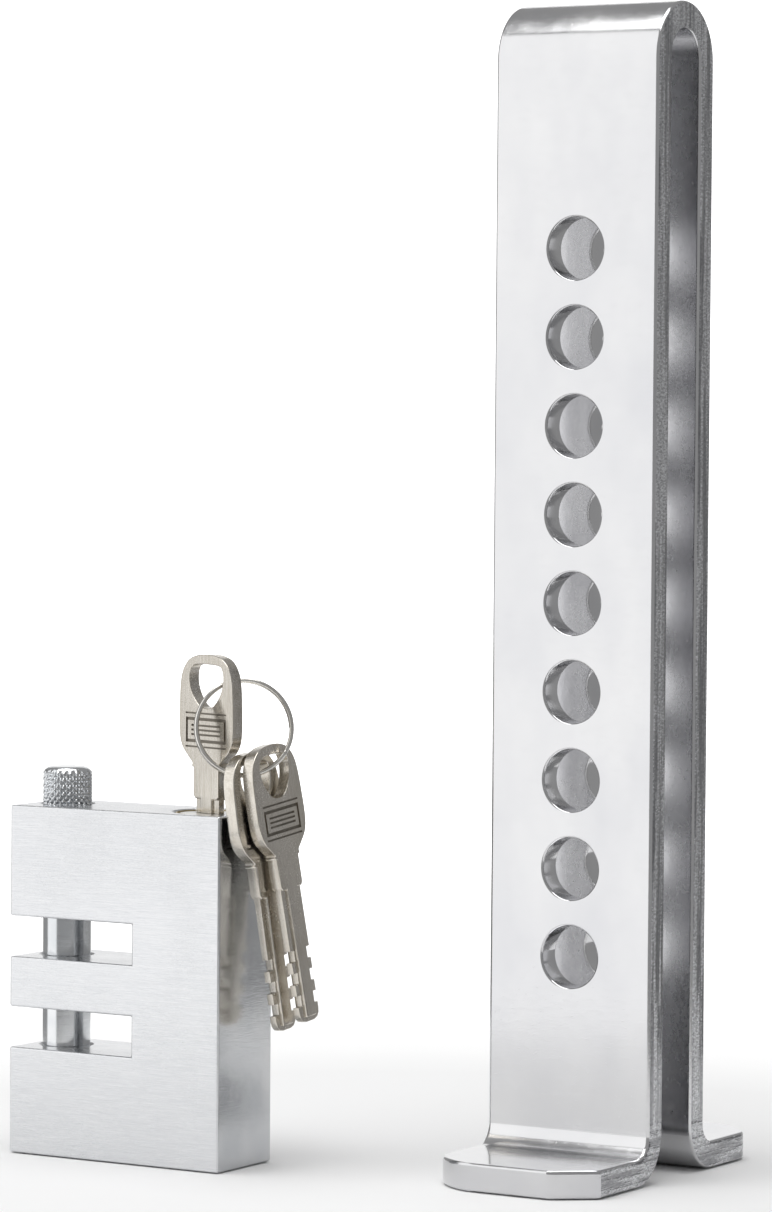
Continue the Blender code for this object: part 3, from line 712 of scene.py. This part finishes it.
def spun(name, rows, count=96):
    """Round sheet through rows of (radius, height) in metres."""
    bm = bmesh.new()
    rings = []
    for radius, z in rows:
        if radius < 1e-6:
            rings.append([bm.verts.new((0.0, 0.0, z))])
        else:
            rings.append([bm.verts.new((radius * a, radius * b, z)) for a, b in circle(0.0, 0.0, 1.0, count)])
    for a, b in zip(rings, rings[1:]):
        for i in range(count):
            j = (i + 1) % count
            if len(a) == 1:
                bm.faces.new((a[0], b[i], b[j])).smooth = True
            elif len(b) == 1:
                bm.faces.new((a[i], b[0], a[j])).smooth = True
            else:
                bm.faces.new((a[i], b[i], b[j], a[j])).smooth = True
    mesh = bpy.data.meshes.new(name)
    bm.to_mesh(mesh)
    bm.free()
    obj = bpy.data.objects.new(name, mesh)
    bpy.context.scene.collection.objects.link(obj)
    return obj


def build_floor():
    """Round pale floor, and the pale studio round it that only the camera sees."""
    table = spun("floor", [(0.0, FLOOR_Z), (0.1, FLOOR_Z), (FLOOR_R, FLOOR_Z)])
    table.data.materials.append(paper_paint("paper", (0.0, 1.1)))
    flat = WALL_R - WALL_BEND
    rows = [(r, FLOOR_Z) for r in (FLOOR_R, 0.6, 1.2, flat)]
    for degrees in range(9, 91, 9):
        a = math.radians(degrees)
        rows.append((flat + WALL_BEND * math.sin(a), WALL_BEND * (1.0 - math.cos(a))))
    rows += [(WALL_R, 2.2), (1.6, 3.0), (0.0, 3.2)]
    studio = spun("studio", rows)
    studio.data.materials.append(paper_paint("paper_round", (0.0, 1.1)))
    studio.visible_glossy = False
    studio.visible_diffuse = False
    studio.visible_transmission = False
    studio.visible_shadow = False
    below = spun("under", [(0.0, -0.02), (2.9, -0.02)])
    below.data.materials.append(paper_paint("paper_under", (1.1, 1.1)))
    below.visible_glossy = False
    below.visible_diffuse = False


def area_light(name, az, el, distance, size, energy):
    data = bpy.data.lights.new(name, "AREA")
    data.shape = "RECTANGLE"
    data.size, data.size_y = size
    data.energy = energy
    lamp = bpy.data.objects.new(name, data)
    bpy.context.scene.collection.objects.link(lamp)
    e = math.radians(el)
    back = facing(az) * math.cos(e) + Vector((0.0, 0.0, math.sin(e)))
    lamp.location = Vector((0.0, 0.0, 0.1)) + back * distance
    lamp.rotation_mode = "QUATERNION"
    lamp.rotation_quaternion = back.to_track_quat("Z", "Y")


def build_world():
    world = bpy.data.worlds.new("studio")
    bpy.context.scene.world = world
    world.use_nodes = True
    background = world.node_tree.nodes["Background"]
    background.inputs["Color"].default_value = (1.0, 1.0, 1.0, 1.0)
    background.inputs["Strength"].default_value = WORLD_STRENGTH


def build_camera():
    yaw, pitch, roll = (math.radians(v) for v in CAMERA_TURN)
    forward = Vector((-math.sin(yaw) * math.cos(pitch), math.cos(yaw) * math.cos(pitch), -math.sin(pitch)))
    right = Vector((math.cos(yaw), math.sin(yaw), 0.0))
    up = right.cross(forward)
    side = right * math.cos(roll) + up * math.sin(roll)
    top = up * math.cos(roll) - right * math.sin(roll)
    data = bpy.data.cameras.new("camera")
    data.sensor_width = 36.0
    data.lens = CAMERA_LENS
    data.clip_start, data.clip_end = 0.05, 20.0
    cam = bpy.data.objects.new("camera", data)
    bpy.context.scene.collection.objects.link(cam)
    turn = Matrix((side, top, forward * -1.0)).transposed().to_4x4()
    cam.matrix_world = Matrix.Translation(Vector(CAMERA_AT) * MM) @ turn
    bpy.context.scene.camera = cam


build_floor()
build_world()
for light in LIGHTS:
    area_light(*light)
build_camera()
bpy.context.scene.view_settings.view_transform = "Standard"
